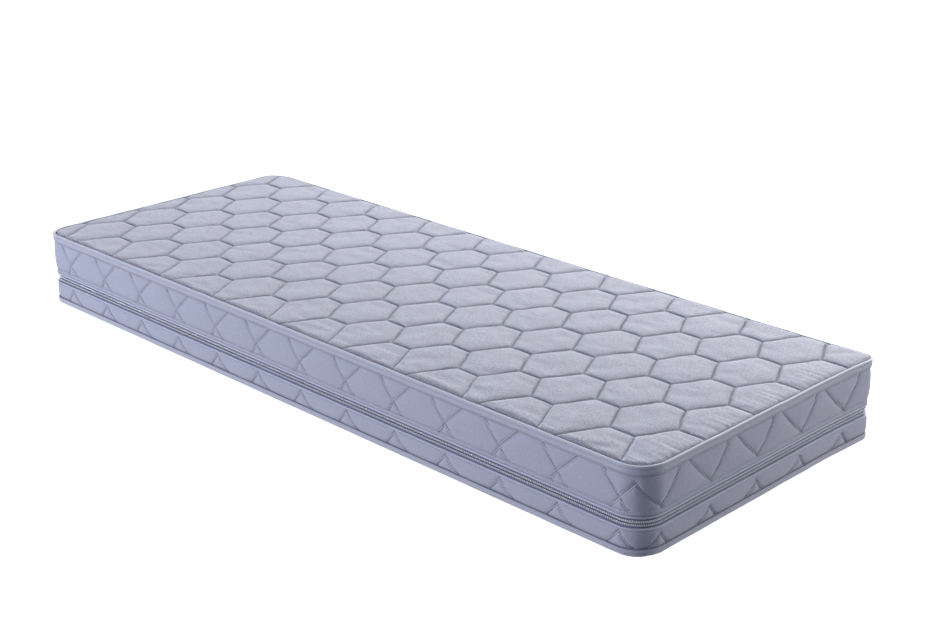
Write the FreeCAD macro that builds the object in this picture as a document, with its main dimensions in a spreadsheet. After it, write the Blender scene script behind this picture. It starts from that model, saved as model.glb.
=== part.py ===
"""Memory foam mattress with a quilted, zip-off cover, as separate named pieces. Millimetres.

Frame: origin on the supporting surface under the middle of the mattress, +X along its length,
+Y across its width, +Z up. Every flat piece is a stack of padded layers with the same
rounded-rectangle outline, drawn further and further inside the mattress's own outline:
an inset is the distance from that outline to the face of a piece.
"""
import FreeCAD, Part
import Sketcher
import math
import os

DRIVING_SIZES = [
    # alias, value, meaning
    ("mattress_length", 2000, "overall length, over the edge tapes"),
    ("mattress_width", 780, "overall width, over the edge tapes"),
    ("mattress_height", 187, "floor to the top of the edge tape's rim"),
    ("corner_radius", 60, "plan radius of the mattress's corners"),
    ("ticking_thickness", 1.5, "knitted outer fabric"),
    ("backing_thickness", 0.8, "non-woven lining of the quilted panels"),
    ("top_wadding", 12, "fibre filling of the top panel"),
    ("bottom_wadding", 6, "fibre filling of the bottom panel"),
    ("border_wadding", 8, "fibre filling of the side borders"),
    ("edge_tape_thickness", 3, "folded binding tape over the edge seams"),
    ("top_tape_leg", 18.5, "binding tape, down the side from the top panel"),
    ("top_tape_rim", 2.5, "rim of the binding tape above the top panel"),
    ("top_tape_reach", 6.5, "rim of the binding tape, measured inwards"),
    ("bottom_tape_leg", 14, "binding tape, up the side from the floor"),
    ("zip_centre", 66, "height of the middle of the zip"),
    ("coil_spacing", 3, "open space between the two rows of coil"),
    ("coil_width", 4.4, "one row of coil, up the side"),
    ("coil_depth", 2.4, "one row of coil, into the side"),
    ("coil_inset", 6.4, "how far the coils lie inside the mattress's outline"),
    ("zip_tape_thickness", 1, "woven tape that carries the coil"),
    ("upper_hem_low", 77, "lower edge of the upper border's hem"),
    ("upper_hem_high", 91, "upper edge of the tape sewn into that hem"),
    ("lower_hem_high", 56, "upper edge of the lower border's hem"),
    ("lower_hem_low", 45.5, "lower edge of the tape sewn into that hem"),
    ("sleeve_thickness", 0.8, "stretch jersey sleeve round the foam"),
    ("memory_foam", 50, "viscoelastic comfort layer"),
    ("transition_foam", 25, "soft resilient foam under it"),
    ("clearance", 0.3, "gap between pieces that move apart"),
    ("zip_gap_centre", 240, "where the two ends of the zip meet, along the far end face"),
    ("zip_gap_length", 38, "length of upper zip left out there, so that the slider can park"),
    ("slider_length", 26, "slider, along the zip"),
    ("slider_wall", 1.4, "plates and flanges of the slider"),
    ("slider_play", 0.5, "room between the slider and the coils and tapes"),
    ("post_thickness", 1.8, "post that joins the slider's plates between the coils"),
    ("post_length", 7, "the same, along the zip"),
    ("bridge_span", 6.4, "clear width between the two lugs of the slider's bridge"),
    ("bridge_wall", 1.2, "thickness of a lug"),
    ("bridge_length", 5, "length of a lug along the zip"),
    ("pin_radius", 0.8, "bar that the pull tab turns on"),
    ("pin_play", 0.08, "radial play of the pull tab on the bar"),
    ("pull_eye_radius", 1.7, "outer radius of the pull tab's eye"),
    ("pull_width", 6, "width of the pull tab"),
    ("pull_length", 30, "length of the pull tab from its bar"),
    ("pull_thickness", 1.4, "thickness of the pull tab"),
    ("stop_length", 5, "crimped stop at the start of the zip"),
    ("stop_wall", 0.9, "wall of the crimped stop"),
]

DOC = FreeCAD.newDocument("mattress")
SIZES = DOC.addObject("Spreadsheet::Sheet", "sizes")

# Insets of the faces, from the outside to the foam, as expressions on the sheet.
BORDER_FACE = "sizes.edge_tape_thickness"
BORDER_WADDING = BORDER_FACE + " + sizes.ticking_thickness"
BORDER_BACKING = BORDER_WADDING + " + sizes.border_wadding"
BORDER_INSIDE = BORDER_BACKING + " + sizes.backing_thickness"
SLEEVE_FACE = BORDER_INSIDE + " + sizes.clearance"
FOAM_FACE = SLEEVE_FACE + " + sizes.sleeve_thickness"
COIL_FACE = "sizes.coil_inset"
ZIP_TAPE_FACE = COIL_FACE + " + sizes.coil_depth"
ZIP_TAPE_BACK = ZIP_TAPE_FACE + " + sizes.zip_tape_thickness"

# Heights of the layers, from the floor up.
BOTTOM_WADDING_LOW = "sizes.ticking_thickness"
BOTTOM_BACKING_LOW = BOTTOM_WADDING_LOW + " + sizes.bottom_wadding"
BOTTOM_INSIDE = BOTTOM_BACKING_LOW + " + sizes.backing_thickness"
SLEEVE_LOW = BOTTOM_INSIDE + " + sizes.clearance"
FOAM_LOW = SLEEVE_LOW + " + sizes.sleeve_thickness"
LOWER_COIL_HIGH = "sizes.zip_centre - sizes.coil_spacing / 2"
LOWER_COIL_LOW = LOWER_COIL_HIGH + " - sizes.coil_width"
UPPER_COIL_LOW = "sizes.zip_centre + sizes.coil_spacing / 2"
UPPER_COIL_HIGH = UPPER_COIL_LOW + " + sizes.coil_width"
PANEL_TOP = "sizes.mattress_height - sizes.top_tape_rim"
TOP_WADDING_HIGH = PANEL_TOP + " - sizes.ticking_thickness"
TOP_BACKING_HIGH = TOP_WADDING_HIGH + " - sizes.top_wadding"
TOP_INSIDE = TOP_BACKING_HIGH + " - sizes.backing_thickness"
SLEEVE_HIGH = TOP_INSIDE + " - sizes.clearance"
FOAM_HIGH = SLEEVE_HIGH + " - sizes.sleeve_thickness"
MEMORY_LOW = FOAM_HIGH + " - sizes.memory_foam"
TRANSITION_LOW = MEMORY_LOW + " - sizes.transition_foam"

# Faces of the slider, as distances inwards from the mattress's outline.
OUTER_PLATE_IN = COIL_FACE + " - sizes.slider_play"
OUTER_PLATE_OUT = OUTER_PLATE_IN + " - sizes.slider_wall"
INNER_PLATE_OUT = ZIP_TAPE_BACK + " + sizes.slider_play"
INNER_PLATE_IN = INNER_PLATE_OUT + " + sizes.slider_wall"
PIN_INSET = OUTER_PLATE_OUT + " - sizes.pull_eye_radius - sizes.clearance"
FLANGE_TIP = ZIP_TAPE_FACE + " - sizes.slider_play"
CHANNEL_HALF = "sizes.coil_spacing / 2 + sizes.coil_width + sizes.slider_play"
SLIDER_HALF = CHANNEL_HALF + " + sizes.slider_wall"


def fill_sheet():
    """Write the driving sizes into the sheet, one row each."""
    for row, (alias, value, meaning) in enumerate(DRIVING_SIZES, start=1):
        SIZES.set("A%d" % row, alias)
        SIZES.set("B%d" % row, str(value))
        SIZES.set("C%d" % row, meaning)
        SIZES.setAlias("B%d" % row, alias)
    DOC.recompute()


def new_body(label, low):
    """Start a sub-part whose Placement is at height low."""
    body = DOC.addObject("PartDesign::Body", "body_" + label)
    body.Label = label
    body.setExpression("Placement.Base.z", low)
    return body


def origin_plane(body, role):
    """The body's own origin plane, such as XY_Plane."""
    return next(f for f in body.Origin.OriginFeatures if f.Role == role)


def rounded_rectangle(sketch, name, inset):
    """Draw the mattress's outline, moved inwards by inset, and bind its sizes to the sheet."""
    half_x = SIZES.mattress_length / 2 - 20
    half_y = SIZES.mattress_width / 2 - 20
    radius = SIZES.corner_radius / 2
    corners = [
        (half_x - radius, radius - half_y, -90),
        (half_x - radius, half_y - radius, 0),
        (radius - half_x, half_y - radius, 90),
        (radius - half_x, radius - half_y, 180),
    ]
    up = FreeCAD.Vector(0, 0, 1)
    arcs = []
    for x, y, start in corners:
        circle = Part.Circle(FreeCAD.Vector(x, y, 0), up, radius)
        arcs.append(Part.ArcOfCircle(circle, math.radians(start), math.radians(start + 90)))
    lines = [Part.LineSegment(arcs[i - 1].EndPoint, arcs[i].StartPoint) for i in range(4)]
    first = sketch.GeometryCount
    for line, arc in zip(lines, arcs):
        sketch.addGeometry(line, False)
        sketch.addGeometry(arc, False)
    for i in range(8):
        sketch.addConstraint(Sketcher.Constraint("Tangent", first + i, 2, first + (i + 1) % 8, 1))
    for line, direction in ((0, "Horizontal"), (2, "Vertical"), (4, "Horizontal"), (6, "Vertical")):
        sketch.addConstraint(Sketcher.Constraint(direction, first + line))
    for arc in (3, 5, 7):
        sketch.addConstraint(Sketcher.Constraint("Equal", first + 1, first + arc))
    sketch.addConstraint(Sketcher.Constraint("Symmetric", first + 1, 3, first + 5, 3, -1, 1))
    sized = [
        ("radius", Sketcher.Constraint("Radius", first + 1, radius), "sizes.corner_radius - (%s)"),
        ("length", Sketcher.Constraint("DistanceX", first + 6, 1, first + 2, 1, 2 * half_x),
         "sizes.mattress_length - 2 * (%s)"),
        ("width", Sketcher.Constraint("DistanceY", first, 1, first + 4, 1, 2 * half_y),
         "sizes.mattress_width - 2 * (%s)"),
    ]
    for what, constraint, expression in sized:
        index = sketch.addConstraint(constraint)
        sketch.renameConstraint(index, name + "_" + what)
        sketch.setExpression("Constraints.%s_%s" % (name, what), expression % inset)


def add_layer(body, inset, low, high, inner_inset=None):
    """Pad a layer from height low to high: a slab, or a ring if inner_inset is given."""
    sketch = body.newObject("Sketcher::SketchObject", body.Name + "_outline")
    sketch.AttachmentSupport = [(origin_plane(body, "XY_Plane"), "")]
    sketch.MapMode = "FlatFace"
    base = dict(body.ExpressionEngine)[".Placement.Base.z"]
    sketch.setExpression("AttachmentOffset.Base.z", "(%s) - (%s)" % (low, base))
    rounded_rectangle(sketch, "outer", inset)
    if inner_inset is not None:
        rounded_rectangle(sketch, "inner", inner_inset)
    pad = body.newObject("PartDesign::Pad", body.Name + "_pad")
    pad.Profile = sketch
    pad.setExpression("Length", "(%s) - (%s)" % (high, low))
    return pad


def slab(label, inset, low, high):
    """A whole layer across the mattress."""
    body = new_body(label, low)
    add_layer(body, inset, low, high)
    return body


def ring(label, *layers):
    """A band all the way round the mattress, made of one or more (outer, inner, low, high) layers."""
    body = new_body(label, layers[0][2])
    for outer, inner, low, high in layers:
        add_layer(body, outer, low, high, inner)
    return body


def add_box(body, kind, size, place):
    """Add or cut a box in a body. size and place are three expressions each, in the body's frame."""
    box = body.newObject("PartDesign::" + kind, body.Name + "_box")
    for side, expression in zip(("Length", "Width", "Height"), size):
        box.setExpression(side, expression)
    for axis, expression in zip("xyz", place):
        box.setExpression("Placement.Base." + axis, expression)
    return box


def span_box(body, kind, x_span, y_span, z_span):
    """Add or cut a box given by its low and high expression on each axis."""
    spans = (x_span, y_span, z_span)
    size = ["(%s) - (%s)" % (high, low) for low, high in spans]
    return add_box(body, kind, size, [low for low, high in spans])


def cut_zip_gap(body, low, high):
    """Leave the upper zip out between its two ends, between heights low and high."""
    base = dict(body.ExpressionEngine)[".Placement.Base.z"]
    half = "sizes.zip_gap_length / 2"
    return span_box(
        body, "SubtractiveBox",
        ("-sizes.mattress_length / 2", "-sizes.mattress_length / 2 + 2 * (%s)" % ZIP_TAPE_BACK),
        ("sizes.zip_gap_centre - " + half, "sizes.zip_gap_centre + " + half),
        ("(%s) - (%s)" % (low, base), "(%s) - (%s)" % (high, base)),
    )


def make_lower_cover():
    """The lower half of the cover: bottom panel, lower border, edge tape and lower zip."""
    slab("bottom_panel_ticking", BORDER_FACE, "0", BOTTOM_WADDING_LOW)
    slab("bottom_panel_wadding", BORDER_BACKING, BOTTOM_WADDING_LOW, BOTTOM_BACKING_LOW)
    slab("bottom_panel_backing", BORDER_BACKING, BOTTOM_BACKING_LOW, BOTTOM_INSIDE)
    hem_fold = "sizes.lower_hem_high - sizes.ticking_thickness"
    ring("lower_border_ticking",
         (BORDER_FACE, BORDER_WADDING, BOTTOM_WADDING_LOW, "sizes.lower_hem_high"),
         (BORDER_FACE, ZIP_TAPE_FACE, hem_fold, "sizes.lower_hem_high"))
    ring("lower_border_wadding",
         (BORDER_WADDING, BORDER_BACKING, BOTTOM_WADDING_LOW, "sizes.lower_hem_low"),
         (BORDER_WADDING, ZIP_TAPE_FACE, "sizes.lower_hem_low", hem_fold))
    ring("lower_border_backing",
         (BORDER_BACKING, BORDER_INSIDE, BOTTOM_INSIDE, "sizes.lower_hem_low"))
    ring("bottom_edge_tape", ("0", BORDER_FACE, "0", "sizes.bottom_tape_leg"))
    ring("lower_zip_tape", (ZIP_TAPE_FACE, ZIP_TAPE_BACK, "sizes.lower_hem_low", LOWER_COIL_HIGH))
    ring("lower_zip_coil", (COIL_FACE, ZIP_TAPE_FACE, LOWER_COIL_LOW, LOWER_COIL_HIGH))


def make_core():
    """The foam core: three foam layers in a closed jersey sleeve."""
    ring("inner_sleeve",
         (SLEEVE_FACE, None, SLEEVE_LOW, FOAM_LOW),
         (SLEEVE_FACE, FOAM_FACE, FOAM_LOW, FOAM_HIGH),
         (SLEEVE_FACE, None, FOAM_HIGH, SLEEVE_HIGH))
    slab("support_foam_core", FOAM_FACE, FOAM_LOW, TRANSITION_LOW)
    slab("transition_foam_layer", FOAM_FACE, TRANSITION_LOW, MEMORY_LOW)
    slab("memory_foam_layer", FOAM_FACE, MEMORY_LOW, FOAM_HIGH)


def make_upper_cover():
    """The upper half of the cover: top panel, upper border, edge tape and upper zip."""
    slab("top_panel_ticking", "sizes.top_tape_reach", TOP_WADDING_HIGH, PANEL_TOP)
    slab("top_panel_wadding", BORDER_BACKING, TOP_BACKING_HIGH, TOP_WADDING_HIGH)
    slab("top_panel_backing", BORDER_BACKING, TOP_INSIDE, TOP_BACKING_HIGH)
    hem_fold = "sizes.upper_hem_low + sizes.ticking_thickness"
    ring("upper_border_ticking",
         (BORDER_FACE, BORDER_WADDING, "sizes.upper_hem_low", TOP_WADDING_HIGH),
         (BORDER_FACE, ZIP_TAPE_FACE, "sizes.upper_hem_low", hem_fold))
    ring("upper_border_wadding",
         (BORDER_WADDING, BORDER_BACKING, "sizes.upper_hem_high", TOP_WADDING_HIGH),
         (BORDER_WADDING, ZIP_TAPE_FACE, hem_fold, "sizes.upper_hem_high"))
    ring("upper_border_backing", (BORDER_BACKING, BORDER_INSIDE, "sizes.upper_hem_high", TOP_INSIDE))
    ring("top_edge_tape",
         ("0", BORDER_FACE, PANEL_TOP + " - sizes.top_tape_leg", TOP_WADDING_HIGH),
         ("0", "sizes.top_tape_reach", TOP_WADDING_HIGH, "sizes.mattress_height"))
    upper_tape = ring("upper_zip_tape",
                      (ZIP_TAPE_FACE, ZIP_TAPE_BACK, UPPER_COIL_LOW, "sizes.upper_hem_high"))
    cut_zip_gap(upper_tape, UPPER_COIL_LOW, "sizes.upper_hem_low")
    upper_coil = ring("upper_zip_coil", (COIL_FACE, ZIP_TAPE_FACE, UPPER_COIL_LOW, UPPER_COIL_HIGH))
    cut_zip_gap(upper_coil, UPPER_COIL_LOW, UPPER_COIL_HIGH)


def zip_body(label, along="sizes.zip_gap_centre"):
    """A body on the far end face at the middle of the zip: its X is the inset, its Z is up."""
    body = new_body(label, "sizes.zip_centre")
    body.setExpression("Placement.Base.x", "-sizes.mattress_length / 2")
    body.setExpression("Placement.Base.y", along)
    return body


def make_slider():
    """The zip's slider: two plates with flanges round both coils, joined by a post between them."""
    body = zip_body("slider_body")
    half_length = "sizes.slider_length / 2"
    along = ("-(%s)" % half_length, half_length)
    edge_low = ("-(%s)" % SLIDER_HALF, "-(%s)" % CHANNEL_HALF)
    edge_high = (CHANNEL_HALF, SLIDER_HALF)
    across = ("-(%s)" % SLIDER_HALF, SLIDER_HALF)
    span_box(body, "AdditiveBox", (OUTER_PLATE_OUT, OUTER_PLATE_IN), along, across)
    span_box(body, "AdditiveBox", (OUTER_PLATE_IN, FLANGE_TIP), along, edge_low)
    span_box(body, "AdditiveBox", (OUTER_PLATE_IN, FLANGE_TIP), along, edge_high)
    post_y = ("%s - sizes.post_length" % half_length, half_length)
    post_z = ("-sizes.post_thickness / 2", "sizes.post_thickness / 2")
    span_box(body, "AdditiveBox", (OUTER_PLATE_IN, INNER_PLATE_OUT), post_y, post_z)
    span_box(body, "AdditiveBox", (INNER_PLATE_OUT, INNER_PLATE_IN), along, across)
    DOC.recompute()
    plates = body.Tip
    fillet = body.newObject("PartDesign::Fillet", "slider_corners")
    fillet.Base = (plates, plate_corners(plates.Shape))
    fillet.setExpression("Radius", "sizes.slider_wall * 0.8")


def plate_corners(shape):
    """Names of the short edges at the slider's four corners, which run into the mattress."""
    box = shape.BoundBox
    names = []
    for number, edge in enumerate(shape.Edges, start=1):
        middle = edge.BoundBox.Center
        at_end = min(abs(middle.y - box.YMin), abs(middle.y - box.YMax)) < 1e-6
        at_side = min(abs(middle.z - box.ZMin), abs(middle.z - box.ZMax)) < 1e-6
        if at_end and at_side and edge.BoundBox.XLength > 1e-6:
            names.append("Edge%d" % number)
    return names


def make_bridge():
    """Two lugs on the slider's outer plate, and the bar between them that the pull tab turns on."""
    body = zip_body("slider_bridge")
    half = "sizes.bridge_span / 2"
    along = ("-sizes.bridge_length / 2", "sizes.bridge_length / 2")
    lug_out = PIN_INSET + " - sizes.pin_radius - sizes.bridge_wall / 2"
    upper = (half, half + " + sizes.bridge_wall")
    lower = ("-(%s) - sizes.bridge_wall" % half, "-(%s)" % half)
    for z_span in (upper, lower):
        span_box(body, "AdditiveBox", (lug_out, OUTER_PLATE_OUT), along, z_span)
    pin = body.newObject("PartDesign::AdditiveCylinder", "bridge_pin")
    pin.setExpression("Radius", "sizes.pin_radius")
    pin.setExpression("Height", "sizes.bridge_span + sizes.bridge_wall")
    pin.setExpression("Placement.Base.x", PIN_INSET)
    pin.setExpression("Placement.Base.z", "-sizes.bridge_span / 2 - sizes.bridge_wall / 2")


def make_pull_tab():
    """The pull tab, lying along the zip, with an eye round the bridge's bar."""
    body = zip_body("pull_tab")
    eye = body.newObject("PartDesign::AdditiveCylinder", "pull_eye")
    eye.setExpression("Radius", "sizes.pull_eye_radius")
    eye.setExpression("Height", "sizes.pull_width")
    eye.setExpression("Placement.Base.x", PIN_INSET)
    eye.setExpression("Placement.Base.z", "-sizes.pull_width / 2")
    half = "sizes.pull_thickness / 2"
    across = ("-sizes.pull_width / 2", "sizes.pull_width / 2")
    span_box(body, "AdditiveBox", ("%s - %s" % (PIN_INSET, half), "%s + %s" % (PIN_INSET, half)),
             ("0", "sizes.pull_length"), across)
    bore = body.newObject("PartDesign::SubtractiveCylinder", "pull_bore")
    bore.setExpression("Radius", "sizes.pin_radius + sizes.pin_play")
    bore.setExpression("Height", "sizes.pull_width")
    bore.setExpression("Placement.Base.x", PIN_INSET)
    bore.setExpression("Placement.Base.z", "-sizes.pull_width / 2")
    finger_hole = body.newObject("PartDesign::SubtractiveCylinder", "pull_hole")
    finger_hole.setExpression("Radius", "sizes.pull_width / 4")
    finger_hole.setExpression("Height", "4 * sizes.pull_thickness")
    finger_hole.Placement.Rotation = FreeCAD.Rotation(FreeCAD.Vector(0, 1, 0), 90)
    finger_hole.setExpression("Placement.Base.x", "%s - 2 * sizes.pull_thickness" % PIN_INSET)
    finger_hole.setExpression("Placement.Base.y", "sizes.pull_length - sizes.pull_width / 2")


def make_end_stop():
    """A crimped stop round the lower coil, just past the parked slider."""
    past = "sizes.zip_gap_centre + sizes.slider_length / 2 + sizes.stop_wall"
    body = zip_body("zip_end_stop", past)
    along = ("0", "sizes.stop_length")
    low = "-sizes.coil_spacing / 2 - sizes.coil_width"
    high = "-sizes.coil_spacing / 2"
    outer_x = (COIL_FACE + " - sizes.stop_wall", ZIP_TAPE_FACE)
    span_box(body, "AdditiveBox", outer_x, along,
             (low + " - sizes.stop_wall", high + " + sizes.stop_wall"))
    span_box(body, "SubtractiveBox", (COIL_FACE, ZIP_TAPE_FACE), along, (low, high))


def sub_parts():
    """Every sub-part of the mattress, by label."""
    return {body.Label: body for body in DOC.Objects if body.TypeId == "PartDesign::Body"}


def check_and_write():
    """Check every object and every sub-part's shape, then write each sub-part as STEP."""
    DOC.recompute()
    for thing in DOC.Objects:
        if {"Invalid", "Error"} & set(thing.State):
            raise RuntimeError("%s is %s" % (thing.Label, thing.State))
    parts = sub_parts()
    for label, body in parts.items():
        if body.Shape.isNull() or not body.Shape.isValid() or len(body.Shape.Solids) != 1:
            raise RuntimeError("%s has no single valid solid" % label)
    os.makedirs("parts", exist_ok=True)
    for label, body in parts.items():
        body.Shape.exportStep("parts/%s.step" % label)
        print("%-24s %12.1f mm3  %s" % (label, body.Shape.Volume, body.Shape.BoundBox))


fill_sheet()
make_lower_cover()
make_core()
make_upper_cover()
make_slider()
make_bridge()
make_pull_tab()
make_end_stop()
check_and_write()
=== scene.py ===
"""Looks of the memory foam mattress: quilted covers, binding tapes, zip, lining, sleeve and foam."""
import math

import bpy
import numpy as np
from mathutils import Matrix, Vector


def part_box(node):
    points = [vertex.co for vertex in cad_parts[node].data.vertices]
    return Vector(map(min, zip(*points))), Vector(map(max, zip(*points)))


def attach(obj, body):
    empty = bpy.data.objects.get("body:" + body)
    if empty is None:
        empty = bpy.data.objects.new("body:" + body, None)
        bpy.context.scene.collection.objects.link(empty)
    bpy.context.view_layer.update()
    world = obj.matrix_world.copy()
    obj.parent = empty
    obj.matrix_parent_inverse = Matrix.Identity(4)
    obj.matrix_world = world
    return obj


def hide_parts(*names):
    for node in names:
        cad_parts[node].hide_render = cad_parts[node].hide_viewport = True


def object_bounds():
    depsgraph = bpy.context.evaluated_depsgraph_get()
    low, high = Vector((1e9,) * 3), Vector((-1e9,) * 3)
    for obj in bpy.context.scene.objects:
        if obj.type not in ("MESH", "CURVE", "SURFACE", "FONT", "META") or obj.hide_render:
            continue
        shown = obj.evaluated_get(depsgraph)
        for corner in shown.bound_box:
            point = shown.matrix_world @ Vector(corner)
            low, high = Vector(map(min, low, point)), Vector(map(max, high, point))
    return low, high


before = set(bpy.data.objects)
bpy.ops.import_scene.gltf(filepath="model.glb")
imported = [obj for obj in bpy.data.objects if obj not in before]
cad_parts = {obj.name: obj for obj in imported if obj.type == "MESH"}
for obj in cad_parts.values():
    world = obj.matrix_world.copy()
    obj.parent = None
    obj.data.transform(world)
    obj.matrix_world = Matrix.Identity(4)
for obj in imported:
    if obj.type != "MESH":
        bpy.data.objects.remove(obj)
CAD_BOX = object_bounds()

MM = 0.001
LOW, HIGH = (np.array(corner) for corner in CAD_BOX)
LENGTH, WIDTH, HEIGHT = HIGH - LOW
PANEL_INSET = HIGH[0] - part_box("top_panel_ticking")[1].x

# the soft cover's corners are pulled to slightly different roundness, from the -X -Y one on round
CORNERS = np.array([52, 66, 36, 60]) * MM
ARCS = CORNERS * math.pi / 2
SIDES = np.array([LENGTH, WIDTH, LENGTH, WIDTH]) - CORNERS - np.roll(CORNERS, -1)
PERIMETER = SIDES.sum() + ARCS.sum()
SIDE_STARTS = np.concatenate([[0], np.cumsum(SIDES + np.roll(ARCS, -1))[:-1]])


def on_side(side, position):
    """Distance round the outline to a place on one side: near, +X end, far, -X end."""
    ahead = position if side < 2 else -position
    return SIDE_STARTS[side] + (LENGTH, WIDTH)[side % 2] / 2 - CORNERS[side] + ahead


# heights of the cover's lines
TAPE_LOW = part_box("top_edge_tape")[0].z
UPPER_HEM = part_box("upper_border_ticking")[0].z
BOTTOM_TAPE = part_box("bottom_edge_tape")[1].z
UPPER_STITCH = 90.5 * MM
LOWER_STITCH = 52.4 * MM

# where the slider parks: the middle of its place on the -X end, and how far the place reaches each way
PARK_MIDDLE = on_side(3, 240 * MM)
PARK_REACH = 19 * MM

# the hexagon quilting
CELL_X = 205.7 * MM
CELL_Y = 162.1 * MM
CELL_FLAT = 61 * MM
QUILT_X0 = -792.9 * MM
QUILT_Y0 = 369.8 * MM
STITCH_PITCH = 5.4 * MM


# ---------------------------------------------------------------- outline and meshes

def outline(s):
    """Points on the mattress's outline and the outward normals there, at distances s round it.

    It starts at the near side's -X end and runs along +X, round the corner, along +Y, and so on.
    """
    s = np.mod(np.asarray(s, float), PERIMETER)
    x, y, nx, ny = (np.zeros_like(s) for _ in range(4))
    for side, start in enumerate(SIDE_STARTS):
        angle = side * math.pi / 2
        ahead = np.array([math.cos(angle), math.sin(angle)])
        out = np.array([math.sin(angle), -math.cos(angle)])
        radius, arc = np.roll(CORNERS, -1)[side], np.roll(ARCS, -1)[side]
        centre = (np.array([LENGTH, WIDTH]) / 2 - radius) * np.sign(ahead + out)
        straight = (s >= start) & (s < start + SIDES[side])
        run = s[straight] - start - SIDES[side]
        edge = centre + out * radius
        x[straight] = edge[0] + ahead[0] * run
        y[straight] = edge[1] + ahead[1] * run
        nx[straight], ny[straight] = out
        bend = (s >= start + SIDES[side]) & (s < start + SIDES[side] + arc)
        theta = (s[bend] - start - SIDES[side]) / radius
        nx[bend] = out[0] * np.cos(theta) + ahead[0] * np.sin(theta)
        ny[bend] = out[1] * np.cos(theta) + ahead[1] * np.sin(theta)
        x[bend] = centre[0] + radius * nx[bend]
        y[bend] = centre[1] + radius * ny[bend]
    return x, y, nx, ny


def on_border(s, inset, z):
    """3-D points at distances s round the mattress, inset from its outline, at heights z."""
    x, y, nx, ny = outline(s)
    return np.stack([x - nx * inset, y - ny * inset, z + 0 * x], axis=-1)


def stand_out(points):
    """Pull points near the +X +Y corner outwards, where the soft mattress stands out a little."""
    points = np.array(points, float).reshape(-1, 3)
    away = np.hypot(points[:, 0] - LENGTH / 2, points[:, 1] - WIDTH / 2)
    points[:, :2] += 5.5 * MM * np.exp(-(away / (110 * MM)) ** 2)[:, None]
    return points


def new_mesh(name, points, faces, smooth=True, attributes=None):
    """A mesh object from arrays of points and of faces, with optional float attributes per point."""
    mesh = bpy.data.meshes.new(name)
    mesh.from_pydata(stand_out(points).tolist(), [], faces)
    if smooth:
        mesh.polygons.foreach_set("use_smooth", [True] * len(mesh.polygons))
    for key, values in (attributes or {}).items():
        layer = mesh.attributes.new(key, "FLOAT", "POINT")
        layer.data.foreach_set("value", np.asarray(values, np.float32).ravel())
    mesh.update()
    piece = bpy.data.objects.new(name, mesh)
    bpy.context.scene.collection.objects.link(piece)
    return piece


def grid_faces(rows, columns, wrap_rows=False, wrap_columns=False, start=0):
    """Quads of a grid whose points are numbered row by row."""
    r = np.arange(rows if wrap_rows else rows - 1)
    c = np.arange(columns if wrap_columns else columns - 1)
    r, c = np.meshgrid(r, c, indexing="ij")
    r2, c2 = (r + 1) % rows, (c + 1) % columns
    quads = np.stack([r * columns + c, r2 * columns + c, r2 * columns + c2, r * columns + c2], -1)
    return (quads.reshape(-1, 4) + start).tolist()


def grid_rim(rows, columns):
    """Numbers of the points along a grid's four edges, in order round it."""
    return np.concatenate([
        np.arange(columns), np.arange(1, rows) * columns + columns - 1,
        (rows - 1) * columns + np.arange(columns - 2, -1, -1), np.arange(rows - 2, 0, -1) * columns])


def spindle_faces(rings, around):
    """Faces of a spindle: one end point, some rings of points round it, and the other end point."""
    last = rings * around + 1
    faces = []
    for k in range(around):
        k2 = (k + 1) % around
        faces.append((0, 1 + k2, 1 + k))
        faces.append((last, last - around + k, last - around + k2))
        for ring in range(rings - 1):
            a = 1 + ring * around
            faces.append((a + k, a + k2, a + around + k2, a + around + k))
    return faces


def sweep(name, profile, step, fold=None, wave=None):
    """Sweep a closed profile of (inset, height) points round the outline.

    It can have a fold value for each point, which sets where highlight and shade are painted, and a wave(s,
    inset, z) that moves the swept points.
    """
    count = int(round(PERIMETER / step))
    s = np.arange(count) * PERIMETER / count
    profile = np.asarray(profile)
    s_grid, inset = np.meshgrid(s, profile[:, 0], indexing="ij")
    z_grid = np.broadcast_to(profile[:, 1], s_grid.shape)
    if wave is not None:
        inset, z_grid = wave(s_grid, inset, z_grid)
    points = on_border(s_grid, inset, z_grid)
    faces = grid_faces(count, len(profile), wrap_rows=True, wrap_columns=True)
    attributes = None if fold is None else {"fold": np.broadcast_to(fold, s_grid.shape)}
    return new_mesh(name, points, faces, attributes=attributes)


def smooth_noise(x, y, size, seed, repeat=None):
    """Smooth random values from -1 to 1 over a plane, with features about size across."""
    rng = np.random.default_rng(seed)
    n = 128 if repeat is None else int(round(repeat / size))
    table = rng.uniform(-1, 1, (n, 64))
    u = x / size if repeat is None else x / repeat * n
    v = y / size
    iu, iv = np.floor(u).astype(int), np.floor(v).astype(int)
    fu, fv = u - iu, v - iv
    fu, fv = fu * fu * (3 - 2 * fu), fv * fv * (3 - 2 * fv)

    def at(du, dv):
        return table[(iu + du) % n, (iv + dv) % 64]

    low = at(0, 0) * (1 - fu) + at(1, 0) * fu
    high = at(0, 1) * (1 - fu) + at(1, 1) * fu
    return low * (1 - fv) + high * fv


def smoothstep(low, high, value):
    """0 below low, 1 above high, smooth between."""
    t = np.clip((value - low) / (high - low), 0, 1)
    return t * t * (3 - 2 * t)


def stand_for(piece, body, slot, *nodes):
    """Let a piece move with a body, in the place of CAD nodes if there are any; the slot argument is not
    used.
    """
    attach(piece, body)
    if nodes:
        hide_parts(*nodes)


# ---------------------------------------------------------------- stitches

def stitch_shape(pitch, radius):
    """Points and faces of one stitch along +X, a little shorter than the pitch, its ends in the cloth."""
    around = 6
    length = 0.72 * pitch
    stations = [(-0.36, -0.2), (0.0, 0.55), (0.36, -0.2)]
    points = [(-0.5 * length, 0, -1.4 * radius)]
    for along, lift in stations:
        for k in range(around):
            angle = 2 * math.pi * k / around
            points.append((along * length, radius * math.cos(angle), radius * (math.sin(angle) + lift)))
    points.append((0.5 * length, 0, -1.4 * radius))
    return np.array(points), spindle_faces(len(stations), around)


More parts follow.
